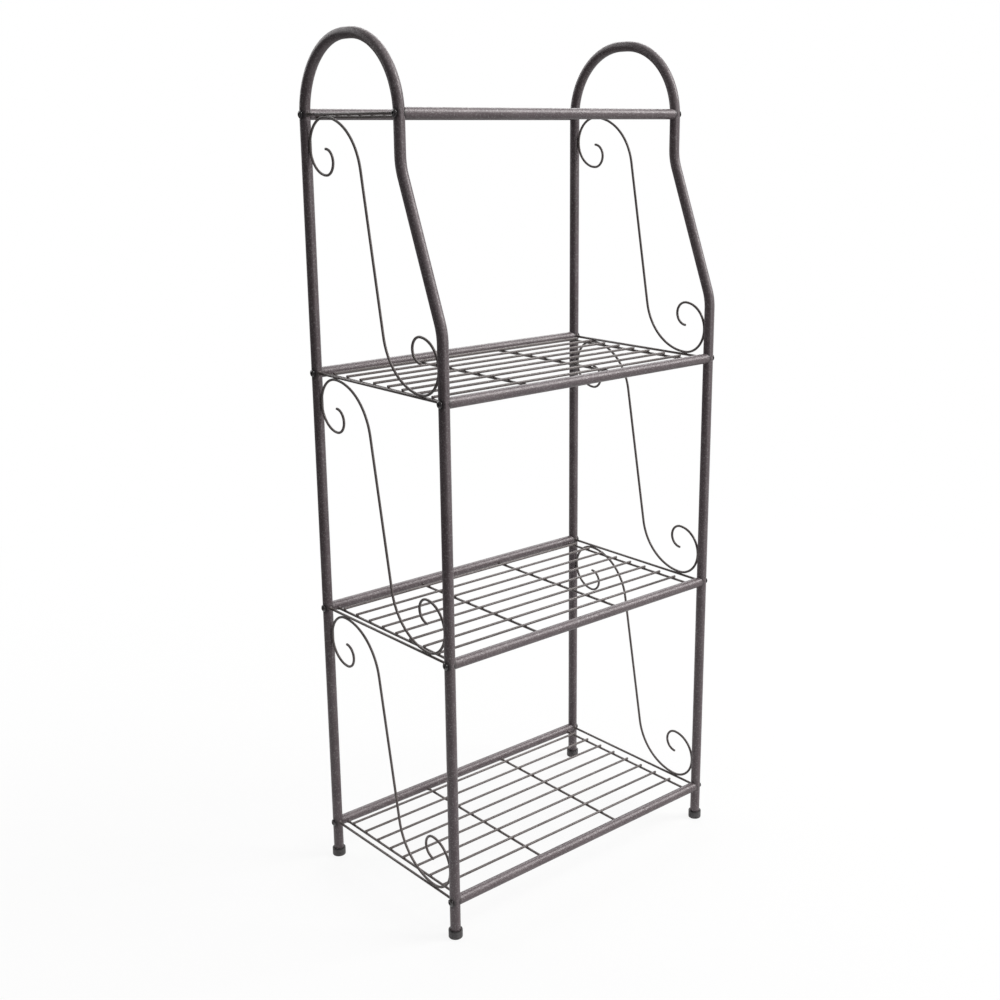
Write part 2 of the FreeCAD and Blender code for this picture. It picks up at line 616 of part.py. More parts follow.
os.makedirs("parts", exist_ok=True)
for body in SUBPARTS:
    shape = body.Shape
    if shape.isNull() or not shape.isValid():
        raise RuntimeError(f"{body.Label} has no sound shape")
    shape.exportStep(f"parts/{body.Label}.step")
    print(f"{body.Label}: {len(shape.Solids)} solids, {shape.Volume:.1f} mm3")
print(f"{len(SUBPARTS)} pieces")
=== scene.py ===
import logging
import math
from dataclasses import dataclass
from enum import Enum
from typing import Callable, Iterable, Optional, Sequence, Union

import bmesh
import bpy
from bmesh.types import BMEdge, BMesh, BMVert
from mathutils import Matrix, Vector, noise


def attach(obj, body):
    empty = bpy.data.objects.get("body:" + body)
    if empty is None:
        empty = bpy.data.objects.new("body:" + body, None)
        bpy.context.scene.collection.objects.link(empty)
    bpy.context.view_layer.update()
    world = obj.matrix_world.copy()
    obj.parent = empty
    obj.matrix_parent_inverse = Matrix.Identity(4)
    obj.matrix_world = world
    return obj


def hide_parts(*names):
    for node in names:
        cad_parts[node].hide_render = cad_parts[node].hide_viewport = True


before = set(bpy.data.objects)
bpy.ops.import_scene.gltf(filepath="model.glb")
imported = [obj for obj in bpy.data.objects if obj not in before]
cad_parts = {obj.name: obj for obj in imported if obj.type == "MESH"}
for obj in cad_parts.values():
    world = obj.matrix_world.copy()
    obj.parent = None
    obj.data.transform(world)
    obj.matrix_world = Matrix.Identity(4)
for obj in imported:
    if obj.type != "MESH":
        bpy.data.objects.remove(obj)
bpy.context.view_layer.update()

SCENE = bpy.context.scene
LOG = logging.getLogger("plant_stand")
MM = 0.001
TOUCH = 1e-4
SHARP_ANGLE = math.radians(38)
BODY = "root"
RUB = "rub"
# Attribute name for painted shade: darkening laid where joints and the foot caps' mouths lie in shade.
PAINTED_SHADE = "painted_shade"

Triple = tuple[float, float, float]
Colour = Triple
Span = tuple[float, float]
Outline = Sequence[tuple[float, float]]
Seat = Callable[[Vector], float]
Socket = bpy.types.NodeSocket
SocketValue = Union[float, Triple, Socket]

ALONG = Vector((1.0, 0.0, 0.0))
DEPTHWAYS = Vector((0.0, 1.0, 0.0))
UP = Vector((0.0, 0.0, 1.0))
WIRE_SIDES = 14
WIRE_PARTS = 2


@dataclass(frozen=True)
class StandSizes:
    """Sizes of the whole stand, in millimetres: X along the rails, -Y the front, Z up from the floor."""

    half_spacing: float = 268.0
    back_leg: float = 158.0
    front_leg: float = -158.0
    top_front_leg: float = -74.0
    tube_radius: float = 8.0
    tube_wall: float = 1.0
    tube_foot: float = 3.0
    arch_axis: float = 1305.5
    arch_bend: float = 110.0
    slope_start: float = 1145.0
    slope_end: float = 899.0
    slope_bend: float = 80.0
    wire_radius: float = 2.0
    wire_edge: float = 0.3
    wire_end_rub: float = 0.15
    first_shelf: float = 60.0
    tier_pitch: float = 379.5
    weld_gap: float = 0.05

    @property
    def tube_walls(self) -> tuple[float, float]:
        """Outer radius and bore radius of the tubes."""
        return self.tube_radius, self.tube_radius - self.tube_wall


STAND = StandSizes()


class Slot(Enum):
    """Material slots of the record, one per finish."""

    TUBE = "coated_tube"
    WIRE = "coated_wire"
    SCREW = "screw_steel"
    INSERT = "insert_steel"
    FOOT = "foot_plastic"


Finishes = dict[Slot, bpy.types.Material]


class Side(Enum):
    """The two side frames, by the sign of X that they stand on."""

    LEFT = -1
    RIGHT = 1

    @property
    def label(self) -> str:
        """The side's name as the nodes have it."""
        return self.name.lower()

    @property
    def x(self) -> float:
        """Where the side frame's plane is, in millimetres."""
        return self.value * STAND.half_spacing


class Tier(Enum):
    """The four shelf levels, counted up from the lowest."""

    LOWER = 0
    MIDDLE = 1
    UPPER = 2
    TOP = 3

    @property
    def label(self) -> str:
        """The tier's name as the nodes have it."""
        return self.name.lower()

    @property
    def height(self) -> float:
        """Height of the rails' and rungs' axes, in millimetres."""
        return STAND.first_shelf + self.value * STAND.tier_pitch

    @property
    def front(self) -> float:
        """Where the front legs are in Y at that height, in millimetres."""
        return STAND.top_front_leg if self is Tier.TOP else STAND.front_leg


# Finishes

COARSE, MEDIUM, FINE = 2.0, 3.0, 4.0
NOISE_SPAN: Span = (0.3, 0.7)
WHOLE: Span = (0.0, 1.0)
WHITE: Colour = (1.0, 1.0, 1.0)
MIX_COLOURS = (6, 7)
MIX_RESULT = 2


class NodeGraph:
    """A node tree that starts empty and is filled node by node."""

    def __init__(self, tree: bpy.types.NodeTree) -> None:
        """Empty the tree of a material or of the world."""
        tree.nodes.clear()
        self.tree = tree

    def give(self, target: Socket, value: SocketValue) -> None:
        """Set an input to a value, or link it to another node's output.

        Args:
            target: The input.
            value: A number, a triple, a colour or an output socket.
        """
        if isinstance(value, Socket):
            self.tree.links.new(value, target)
        elif target.type == "RGBA":
            target.default_value = (*value, 1.0)
        else:
            target.default_value = value

    def add(self, kind: str, *values: SocketValue, **named: SocketValue) -> bpy.types.Node:
        """Add a node and fill its inputs.

        Args:
            kind: The node's type, without the prefix that every type has.
            values: What the first inputs get, in their order.
            named: What inputs get by name, with underscores for spaces.

        Returns:
            The new node.
        """
        node = self.tree.nodes.new(f"ShaderNode{kind}")
        for target, value in zip(node.inputs, values):
            self.give(target, value)
        for name, value in named.items():
            self.give(node.inputs[name.replace("_", " ")], value)
        return node

    def spread(self, value: Socket, span: Span, to: Span = WHOLE) -> Socket:
        """Map a range of a value onto another range, and clamp it there."""
        return self.add("MapRange", value, *span, *to).outputs["Result"]

    def mix(self, fac: Socket, first: SocketValue, second: SocketValue) -> Socket:
        """Blend two colours.

        Args:
            fac: How much of the second colour shows.
            first: Colour or socket at 0.
            second: Colour or socket at 1.

        Returns:
            The blended colour.
        """
        node = self.add("Mix", fac)
        node.data_type = "RGBA"
        for place, value in zip(MIX_COLOURS, (first, second)):
            self.give(node.inputs[place], value)
        return node.outputs[MIX_RESULT]

    def maths(self, how: str, first: SocketValue, second: SocketValue) -> Socket:
        """Combine two values with one sum.

        Args:
            how: Name of the sum, such as MULTIPLY.
            first: First value or socket.
            second: Second value or socket.

        Returns:
            The result.
        """
        node = self.add("Math", first, second)
        node.operation = how
        return node.outputs[0]


class Shader(NodeGraph):
    """A material whose patterns lie on the piece's own coordinates."""

    def __init__(self, name: str) -> None:
        """Make an empty material.

        Args:
            name: The finish's name.
        """
        self.material = bpy.data.materials.new(name)
        self.material.use_nodes = True
        super().__init__(self.material.node_tree)
        self.place = self.add("TexCoord").outputs["Object"]

    def cloud(self, size: float, detail: float = FINE, stretch: Triple = (1.0, 1.0, 1.0)) -> Socket:
        """Soft noise, by the size of a patch in millimetres, its octaves and the scale of each axis."""
        turned = self.add("Mapping", Vector=self.place, Scale=stretch).outputs["Vector"]
        return self.add("TexNoise", Vector=turned, Scale=1.0 / (size * MM), Detail=detail).outputs[0]

    def dimples(self, size: float, softness: float) -> Socket:
        """Rounded cells such as a hammered coat has.

        Args:
            size: Size of one cell, in millimetres.
            softness: How far neighbouring cells run together.

        Returns:
            Distance from the cell's middle.
        """
        node = self.add("TexVoronoi", Vector=self.place, Scale=1.0 / (size * MM))
        node.feature = "SMOOTH_F1"
        self.give(node.inputs["Smoothness"], softness)
        return node.outputs["Distance"]

    def layer(self, name: str) -> Socket:
        """Wear or painted shade from the mesh's own attribute of that name, from 0 to 1.

        Args:
            name: The attribute.

        Returns:
            The attribute's value.
        """
        node = self.add("Attribute")
        node.attribute_name = name
        return node.outputs["Fac"]

    def height(self) -> Socket:
        """Height above the floor, in metres."""
        return self.add("SeparateXYZ", self.place).outputs["Z"]

    def relief(self, value: Socket, depth: float, strength: float, under: Optional[Socket] = None) -> Socket:
        """Bump from a value.

        Args:
            value: The height, from 0 to 1.
            depth: What a height of 1 stands for, in millimetres.
            strength: How much of it shows.
            under: Normal of a coarser relief below this one.

        Returns:
            The bumped normal.
        """
        node = self.add("Bump", Height=value, Distance=depth * MM, Strength=strength)
        if under is not None:
            self.give(node.inputs["Normal"], under)
        return node.outputs["Normal"]

    def finish(self, **values: SocketValue) -> bpy.types.Material:
        """Add the principled shader with these inputs, and give back the finished material."""
        self.add("OutputMaterial", Surface=self.add("BsdfPrincipled", **values).outputs["BSDF"])
        return self.material


@dataclass(frozen=True)
class HammeredCoat:
    """Bronze-grey powder coat with a fine hammered grain, thin on cut ends, with painted shade darkening it
    at the joints.
    """

    name: str
    deep: Colour
    body: Colour
    glint: Colour
    bare: Colour
    grain: float
    grain_depth: float
    patch: float
    roughness: Span
    # Colour of the painted shade at the joints.
    painted_shade: Colour = (0.016, 0.012, 0.013)
    metallic: float = 0.10
    specular: float = 0.50
    cell_softness: float = 0.6
    cell_relief: float = 0.8
    cell_weight: float = 0.25
    speck_share: float = 0.8
    speck_depth: float = 0.4
    speck_relief: float = 0.6
    gloss_share: float = 1.7
    flake_span: Span = (0.40, 0.66)
    flake_cover: Span = (0.0, 0.8)
    wear_patch: float = 2.2
    wear_span: Span = (0.4, 0.62)
    wear_cover: Span = (0.15, 1.0)
    # How the painted-shade attribute maps onto the shade colour.
    shade_span: Span = (0.3, 1.0)
    shade_cover: Span = (0.0, 0.9)

    def material(self) -> bpy.types.Material:
        """Build the coat.

        Returns:
            The finished material.
        """
        make = Shader(self.name)
        colour = make.mix(make.spread(make.cloud(self.patch), NOISE_SPAN), self.deep, self.body)
        cells = make.dimples(self.grain, self.cell_softness)
        speck = make.cloud(self.grain * self.speck_share, COARSE)
        raised = make.maths("SUBTRACT", speck, make.maths("MULTIPLY", cells, self.cell_weight))
        colour = make.mix(make.spread(raised, self.flake_span, self.flake_cover), colour, self.glint)
        ragged = make.spread(make.cloud(self.wear_patch), self.wear_span, self.wear_cover)
        colour = make.mix(make.maths("MULTIPLY", make.layer(RUB), ragged), colour, self.bare)
        # Painted shade: the coat darkens where the attribute marks a joint in shade.
        shaded = make.spread(make.layer(PAINTED_SHADE), self.shade_span, self.shade_cover)
        colour = make.mix(shaded, colour, self.painted_shade)
        rough = make.spread(make.cloud(self.grain * self.gloss_share, MEDIUM), NOISE_SPAN, self.roughness)
        hammered = make.relief(cells, self.grain_depth, self.cell_relief)
        normal = make.relief(speck, self.grain_depth * self.speck_depth, self.speck_relief, hammered)
        return make.finish(Base_Color=colour, Roughness=rough, Normal=normal, Metallic=self.metallic,
                           Specular_IOR_Level=self.specular)


@dataclass(frozen=True)
class TurnedSteel:
    """Black or zinc-plated turned steel with fine scratches, brighter where the driver has been."""

    name: str
    deep: Colour
    body: Colour
    bare: Colour
    roughness: Span
    metallic: float
    specular: float
    patch: float = 3.0
    scratch: float = 0.9
    scratch_stretch: Triple = (0.2, 1.0, 1.0)
    scratch_depth: float = 0.03
    scratch_relief: float = 0.4
    wear_span: Span = (0.4, 0.65)
    wear_cover: Span = (0.1, 1.0)

    def material(self) -> bpy.types.Material:
        """Build the steel.

        Returns:
            The finished material.
        """
        make = Shader(self.name)
        colour = make.mix(make.spread(make.cloud(self.patch), NOISE_SPAN), self.deep, self.body)
        scratch = make.cloud(self.scratch, MEDIUM, self.scratch_stretch)
        ragged = make.spread(scratch, self.wear_span, self.wear_cover)
        colour = make.mix(make.maths("MULTIPLY", make.layer(RUB), ragged), colour, self.bare)
        rough = make.spread(scratch, NOISE_SPAN, self.roughness)
        normal = make.relief(scratch, self.scratch_depth, self.scratch_relief)
        return make.finish(Base_Color=colour, Roughness=rough, Normal=normal, Metallic=self.metallic,
                           Specular_IOR_Level=self.specular)


@dataclass(frozen=True)
class MouldedPlastic:
    """Matt moulded plastic with a fine spark texture, dusty near the floor, with painted shade round the
    mouth.
    """

    name: str
    deep: Colour
    body: Colour
    dust: Colour
    # Colour of the painted shade round the mouth.
    painted_shade: Colour
    roughness: Span
    spark: float = 0.5
    spark_depth: float = 0.06
    spark_relief: float = 0.5
    patch: float = 4.0
    patch_span: Span = (0.36, 0.64)
    dust_height: Span = (0.0, 0.005)
    dust_cover: Span = (0.7, 0.0)
    scuff_patch: float = 1.6
    scuff_span: Span = (0.4, 0.65)
    # How much of the painted shade colour the attribute lays on.
    shade_cover: Span = (0.0, 0.85)

    def material(self) -> bpy.types.Material:
        """Build the plastic.

        Returns:
            The finished material.
        """
        make = Shader(self.name)
        colour = make.mix(make.spread(make.cloud(self.patch), self.patch_span), self.deep, self.body)
        low = make.spread(make.height(), self.dust_height, self.dust_cover)
        scuff = make.maths("MULTIPLY", low, make.spread(make.cloud(self.scuff_patch), self.scuff_span))
        colour = make.mix(scuff, colour, self.dust)
        # Painted shade round the mouth, from the attribute.
        colour = make.mix(make.spread(make.layer(PAINTED_SHADE), WHOLE, self.shade_cover), colour, self.painted_shade)
        spark = make.cloud(self.spark, MEDIUM)
        rough = make.spread(spark, NOISE_SPAN, self.roughness)
        normal = make.relief(spark, self.spark_depth, self.spark_relief)
        return make.finish(Base_Color=colour, Roughness=rough, Normal=normal)


FINISHES = {
    Slot.TUBE: HammeredCoat(
        "bronze_hammered_tube_coat", deep=(0.082, 0.062, 0.068), body=(0.120, 0.095, 0.102),
        glint=(0.260, 0.242, 0.248), bare=(0.30, 0.28, 0.28), grain=3.0, grain_depth=0.22, patch=46.0,
        roughness=(0.34, 0.46)),
    Slot.WIRE: HammeredCoat(
        "bronze_wire_coat", deep=(0.078, 0.062, 0.059), body=(0.112, 0.092, 0.089),
        glint=(0.230, 0.212, 0.208), bare=(0.26, 0.24, 0.23), grain=1.6, grain_depth=0.12, patch=30.0,
        roughness=(0.32, 0.46)),
    Slot.SCREW: TurnedSteel(
        "blackened_screw_steel", deep=(0.014, 0.010, 0.011), body=(0.032, 0.025, 0.027),
        bare=(0.10, 0.09, 0.09), roughness=(0.17, 0.28), metallic=0.0, specular=1.0),
    Slot.INSERT: TurnedSteel(
        "zinc_insert_steel", deep=(0.34, 0.34, 0.33), body=(0.46, 0.46, 0.45),
        bare=(0.55, 0.55, 0.54), roughness=(0.30, 0.50), metallic=0.9, specular=0.5),
    # The foot plastic's darkest colour is the painted shade round the cap's mouth.
    Slot.FOOT: MouldedPlastic(
        "charcoal_foot_plastic", deep=(0.040, 0.036, 0.037), body=(0.086, 0.080, 0.081),
        dust=(0.15, 0.145, 0.14), painted_shade=(0.012, 0.011, 0.011), roughness=(0.42, 0.62)),
}


# Shaping

def as_mesh(name: str, bm: BMesh) -> bpy.types.Mesh:
    """Turn a bmesh into a mesh, and free it.

    Args:
        name: The mesh's name.
        bm: The bmesh.

    Returns:
        The mesh.
    """
    mesh = bpy.data.meshes.new(name)
    bm.to_mesh(mesh)
    bm.free()
    return mesh


def in_scene(data: bpy.types.ID) -> bpy.types.Object:
    """Put a mesh, a lamp or a camera in the scene, as an object of the same name.

    Args:
        data: What the object is made of.

    Returns:
        The object.
    """
    made = bpy.data.objects.new(data.name, data)
    SCENE.collection.objects.link(made)
    return made


class Workpiece:
    """A bmesh in millimetres that becomes one finished piece in metres."""

    def __init__(self, name: str) -> None:
        """Start an empty piece.

        Args:
            name: The piece's name in the scene.
        """
        self.name = name
        self.bm: BMesh = bmesh.new()
        self.rub = self.bm.verts.layers.float.new(RUB)
        # The second attribute is painted shade: how much the colour is darkened where a joint lies in shade.
        self.painted_shade = self.bm.verts.layers.float.new(PAINTED_SHADE)

    def shade_near(self, at: Vector, reach: float, strength: float) -> None:
        """Paint shade into the coat round a point, where a joint lies in shade.

        Args:
            at: Middle of the painted shade.
            reach: How far it fades out, in millimetres.
            strength: How dark the painted shade is in the middle; past 1 it stays full over a part of the
                reach.
        """
        for vert in self.bm.verts:
            gap = (vert.co - at).length
            if gap < reach:
                vert[self.painted_shade] = max(vert[self.painted_shade], min(1.0, strength * (1.0 - gap / reach)))

    def complete(self, finishes: Finishes, slot: Slot, node: str) -> None:
        """Turn the bmesh into a piece that rides on the stand.

        Args:
            finishes: The stand's materials.
            slot: The record's slot that the piece's finish belongs to.
            node: Name of the CAD node that the piece stands for.
        """
        bmesh.ops.scale(self.bm, vec=Vector((MM, MM, MM)), verts=self.bm.verts[:])
        bmesh.ops.recalc_face_normals(self.bm, faces=self.bm.faces[:])
        for face in self.bm.faces:
            face.smooth = True
        for edge in self.bm.edges:
            edge.smooth = edge.calc_face_angle(0.0) < SHARP_ANGLE
        mesh = as_mesh(self.name, self.bm)
        mesh.materials.append(finishes[slot])
        piece = in_scene(mesh)
        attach(piece, BODY)
        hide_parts(node)
        LOG.info("%s: %d faces, stands for %s", self.name, len(mesh.polygons), node)


def edges_among(verts: Iterable[BMVert]) -> list[BMEdge]:
    """Edges that have both ends in a set of vertices."""
    inside = set(verts)
    return list({edge for vert in inside for edge in vert.link_edges if inside.issuperset(edge.verts)})


def ring_verts(edges: Iterable[BMEdge]) -> list[BMVert]:
    """Vertices of a ring of edges, each once."""
    return list({vert for edge in edges for vert in edge.verts})


def only_verts(items: Iterable[Union[BMVert, BMEdge]]) -> list[BMVert]:
    """The vertices among the items that an operator gives back."""
    return [item for item in items if isinstance(item, BMVert)]


class Sweep:
    """A round wire or tube drawn along straight runs and bends, one ring per wall."""

    def __init__(self, work: Workpiece, start: Vector, heading: Vector,
                 radii: Sequence[float] = (STAND.wire_radius,), sides: int = WIRE_SIDES) -> None:
        """Place the first ring of each wall.

        Args:
            work: The piece that the wire or tube belongs to.
            start: Where the axis starts.
            heading: Direction of the axis there.
            radii: Outer radius, and the bore's radius for a tube.
            sides: Vertices round each ring.
        """
        self.work = work
        self.bm = work.bm
        self.heading = heading.normalized()
        turn = self.heading.to_track_quat("Z", "X").to_matrix().to_4x4()
        self.first: list[list[BMEdge]] = []
        for radius in radii:
            made = bmesh.ops.create_circle(self.bm, segments=sides, radius=radius,
                                           matrix=Matrix.Translation(start) @ turn)
            self.first.append(edges_among(made["verts"]))
        self.last = [list(ring) for ring in self.first]

    def run(self, length: float, parts: int = 1) -> None:
        """Go straight on.

        Args:
            length: Length of the run.
            parts: Rings that the run is divided into.
        """
        step = self.heading * (length / parts)
        for _ in range(parts):
            for wall, ring in enumerate(self.last):
                verts = only_verts(bmesh.ops.extrude_edge_only(self.bm, edges=ring)["geom"])
                bmesh.ops.translate(self.bm, verts=verts, vec=step)
                self.last[wall] = edges_among(verts)

    def bend(self, centre: Vector, axis: Vector, angle: float, steps: int) -> None:
        """Go round a bend.

        Args:
            centre: Middle of the bend.
            axis: Axis of the turn, by the right-hand rule.
            angle: How far it turns, in radians.
            steps: Rings along the bend.
        """
        for wall, ring in enumerate(self.last):
            made = bmesh.ops.spin(self.bm, geom=ring_verts(ring) + ring, cent=centre, axis=axis, angle=angle,
                                  steps=steps, use_merge=False, use_duplicate=False)
            self.last[wall] = edges_among(only_verts(made["geom_last"]))
        self.heading = Matrix.Rotation(angle, 3, axis) @ self.heading

    def close(self, rounding: float, rubbed: float = 0.0) -> None:
        """Close both ends, with a bore left open, and break their edges.

        Args:
            rounding: Size of the broken edge.
            rubbed: How far the coat is gone on the ends.
        """
        rims: list[BMEdge] = []
        for rings in (self.first, self.last):
            if len(rings) == 1:
                bmesh.ops.contextual_create(self.bm, geom=rings[0])
            else:
                bmesh.ops.bridge_loops(self.bm, edges=[edge for ring in rings for edge in ring])
            for ring in rings:
                rims += ring
                for vert in ring_verts(ring):
                    vert[self.work.rub] = max(vert[self.work.rub], rubbed)
        if rounding > 0.0:
            bmesh.ops.bevel(self.bm, geom=rims, offset=rounding, offset_type="OFFSET", affect="EDGES",
                            segments=2, profile=0.5, material=-1, clamp_overlap=True)


def turn_profile(work: Workpiece, profile: Outline, at: Vector, axis: Vector, steps: int,
                 closed: bool) -> list[BMVert]:
    """Spin an outline into a turned shape.

    Args:
        work: The piece that the shape belongs to.
        profile: Points as distance along the axis and radius.
        at: Where the axis starts.
        axis: Direction of the axis.
        steps: Faces round the shape.
        closed: Whether the outline runs back to its first point.

    Returns:
        The new vertices.
    """
    before = set(work.bm.verts)
    along = axis.normalized()
    side = along.orthogonal().normalized()
    points = [work.bm.verts.new(at + along * reach + side * radius) for reach, radius in profile]
    pairs = list(zip(points, points[1:]))
    if closed:
        pairs.append((points[-1], points[0]))
    edges = [work.bm.edges.new(pair) for pair in pairs]
    bmesh.ops.spin(work.bm, geom=points + edges, cent=at, axis=along, angle=math.tau, steps=steps,
                   use_merge=True, use_duplicate=False)
    made = [vert for vert in work.bm.verts if vert not in before]
    bmesh.ops.remove_doubles(work.bm, verts=made, dist=TOUCH)
    return [vert for vert in work.bm.verts if vert not in before]


# Welds

class Across(Enum):
    """The coordinate across a tube beside a wire's end, and the share of the radius that is followed."""

    LEG = (0, 0.98)
    RAIL = (2, 0.97)


def tube_face(across: Across, middle: float, off_axis: float = 0.0) -> Seat:
    """How the face of a tube changes beside the place where a wire ends on it.

    Args:
        across: Which way the tube lies.
        middle: Where the tube's axis is in that coordinate.
        off_axis: How far the wire's axis passes the tube's.

    Returns:
        A function of a point, negative where the face falls back.
    """
    coordinate, followed = across.value
    level = math.sqrt(STAND.tube_radius ** 2 - off_axis ** 2)

    def fall(point: Vector) -> float:
        """Change of the tube's face at one point."""
        off = min(abs(point[coordinate] - middle), STAND.tube_radius * followed)
        return math.sqrt(STAND.tube_radius ** 2 - off ** 2) - level
    return fall


@dataclass(frozen=True)
class WeldFillet:
    """A coated fillet weld round the end of a wire, its flank as height and distance out from the wire."""

    reach: float = 3.0
    spread: float = 3.9
    sunk: float = 0.4
    toe_height: float = 0.25
    toe_share: float = 0.93
    flank: Outline = ((0.8, 1.05), (1.6, 0.5))
    neck_share: float = 0.8
    neck: float = 0.18
    feather: float = 0.02
    inner_share: float = 0.7
    lumps: float = 0.32
    lump_scale: float = 0.45
    sides: int = 14

    def put(self, work: Workpiece, at: Vector, out: Vector, seat: Seat) -> None:
        """Lay the weld round a wire where it ends on a tube.

        Args:
            work: The piece that the weld belongs to.
            at: Where the wire's axis meets the tube.
            out: Direction of the wire away from the tube.
            seat: Gives how far the tube's surface lies from that point, along the wire, at a place beside it.
        """
        wire = STAND.wire_radius
        inner = wire * self.inner_share
        profile = [(-self.sunk, inner), (-self.sunk, self.spread),
                   (self.toe_height, self.spread * self.toe_share),
                   *((height, wire + beyond) for height, beyond in self.flank),
                   (self.reach * self.neck_share, wire + self.neck), (self.reach, wire + self.feather),
                   (self.reach, inner)]
        along = out.normalized()
        for vert in turn_profile(work, profile, at, along, self.sides, True):
            gap = vert.co - at
            far = gap.dot(along)
            beside = gap - along * far
            share = max(0.0, 1.0 - max(far, 0.0) / self.reach)
            if beside.length > wire:
                lump = noise.noise(vert.co * self.lump_scale) * self.lumps * share
                vert.co += beside.normalized() * lump
            vert.co += along * seat(vert.co) * share


@dataclass(frozen=True)
class WeldBead:
    """A small coated bead where two wires touch."""

    half_sizes: Triple
    lumps: float = 0.22
    lump_scale: float = 0.6

    def put(self, work: Workpiece, at: Vector) -> None:
        """Lay one bead.

        Args:
            work: The piece that the bead belongs to.
            at: Middle of the contact.
        """
        shape = Matrix.Translation(at) @ Matrix.Diagonal((*self.half_sizes, 1.0))
        made = bmesh.ops.create_icosphere(work.bm, subdivisions=2, radius=1.0, matrix=shape)
        for vert in made["verts"]:
            vert.co += (vert.co - at) * noise.noise(vert.co * self.lump_scale) * self.lumps


# Pieces of the stand

@dataclass
class SideFrame:
    """A bent tube with its rungs and scrolls, and painted shade as reach and strength."""

    side: Side
    finishes: Finishes
    bowl: float = 88.0
    loop: float = 40.5
    curl: float = 18.5
    ring_step: float = 5.0
    tube_sides: int = 32
    tube_edge: float = 0.2
    rung_edge: float = 0.15
    arch_rings: int = 26
    slope_rings: int = 8
    curl_rings: int = 22
    loop_rings: int = 30
    bowl_rings: int = 26
    leg_bead: WeldBead = WeldBead((2.0, 1.1, 4.6))
    rung_bead: WeldBead = WeldBead((2.0, 4.4, 1.0))
    # Painted shade on the leg: reach and strength round each screw head and round each rail's end.
    head_shade: Span = (12.0, 2.2)
    rail_shade: Span = (14.0, 1.2)

    def build(self) -> None:
        """Make and dress the frame's pieces."""
        self.tube()
        for tier in Tier:
            self.rung(tier)
        for tier in (Tier.LOWER, Tier.MIDDLE, Tier.UPPER):
            self.scroll(tier)

    def parts(self, length: float) -> int:
        """Rings for a straight run of that length."""
        return max(1, round(length / self.ring_step))

    def tube(self) -> None:
        """The bent tube, from the back foot over the arch to the front foot."""
        work = Workpiece(f"{self.side.label}_bent_tube")
        x = self.side.x
        quarter = math.pi / 2
        spring = STAND.arch_axis - STAND.arch_bend
        drop = STAND.slope_start - STAND.slope_end
        short = 2 * STAND.slope_bend - (STAND.top_front_leg - STAND.front_leg)
        lean = math.atan2(drop, short) - math.acos(2 * STAND.slope_bend / math.hypot(short, drop))
        slant = (drop - 2 * STAND.slope_bend * math.sin(lean)) / math.cos(lean)
        back_arch = Vector((x, STAND.back_leg - STAND.arch_bend, spring))
        front_arch = Vector((x, STAND.top_front_leg + STAND.arch_bend, spring))
        slope_top = Vector((x, STAND.top_front_leg - STAND.slope_bend, STAND.slope_start))
        slope_foot = Vector((x, STAND.front_leg + STAND.slope_bend, STAND.slope_end))
        start = Vector((x, STAND.back_leg, STAND.tube_foot))
        path = Sweep(work, start, UP, STAND.tube_walls, self.tube_sides)
        path.run(spring - STAND.tube_foot, self.parts(spring))
        path.bend(back_arch, ALONG, quarter, self.arch_rings)
        path.run(STAND.back_leg - STAND.top_front_leg - 2 * STAND.arch_bend)
        path.bend(front_arch, ALONG, quarter, self.arch_rings)
        path.run(spring - STAND.slope_start, self.parts(spring - STAND.slope_start))
        path.bend(slope_top, -ALONG, lean, self.slope_rings)
        path.run(slant, self.parts(slant))
        path.bend(slope_foot, ALONG, lean, self.slope_rings)
        path.run(STAND.slope_end - STAND.tube_foot, self.parts(STAND.slope_end))
        path.close(self.tube_edge)
        outward = self.side.value * STAND.tube_radius
        # Painted shade on the leg round each screw head, outside, and round each rail's end, inside.
        for tier in Tier:
            for y in (STAND.back_leg, tier.front):
                work.shade_near(Vector((x + outward, y, tier.height)), *self.head_shade)
                work.shade_near(Vector((x - outward, y, tier.height)), *self.rail_shade)
        work.complete(self.finishes, Slot.TUBE, f"{self.side.label}_side_tube")

    def rung(self, tier: Tier) -> None:
        """A wire between the two legs, with its end welds.

        Args:
            tier: The shelf that the rung is level with.
        """
        label = f"{self.side.label}_{tier.label}_rung"
        work = Workpiece(f"{label}_wire")
        x, height = self.side.x, tier.height
        inset = STAND.tube_radius + STAND.weld_gap
        path = Sweep(work, Vector((x, tier.front + inset, height)), DEPTHWAYS)
        path.run(STAND.back_leg - tier.front - 2 * inset, WIRE_PARTS)
        path.close(self.rung_edge)
        for leg, way in ((tier.front, 1.0), (STAND.back_leg, -1.0)):
            at = Vector((x, leg + way * STAND.tube_radius, height))
            WeldFillet().put(work, at, Vector((0, way, 0)), tube_face(Across.LEG, x))
        work.complete(self.finishes, Slot.WIRE, label)

    def scroll(self, tier: Tier) -> None:
        """An S-shaped wire with an open curl at each end, welded to two legs and two rungs.

        Args:
            tier: The shelf that the scroll stands on.
        """
        label = f"{self.side.label}_{tier.label}_scroll"
        work = Workpiece(f"{label}_wire")
        x, wire = self.side.x, STAND.wire_radius
        middle = tier.height + STAND.tier_pitch / 2
        reach = STAND.back_leg - STAND.tube_radius - wire - STAND.weld_gap
        low = STAND.tier_pitch / 2 - 2 * wire - STAND.weld_gap
        turn = reach - self.loop
        far = math.hypot(turn, low - self.bowl)
        sweep = math.atan2(low - self.bowl, turn) + math.asin(self.bowl / far)
        straight = 2 * math.sqrt(far ** 2 - self.bowl ** 2)

        def spot(way: float, rise: float) -> Vector:
            """A point on the line of the three bend centres, at one end of the scroll."""
            return Vector((x, -way * turn, middle + way * (rise - low)))

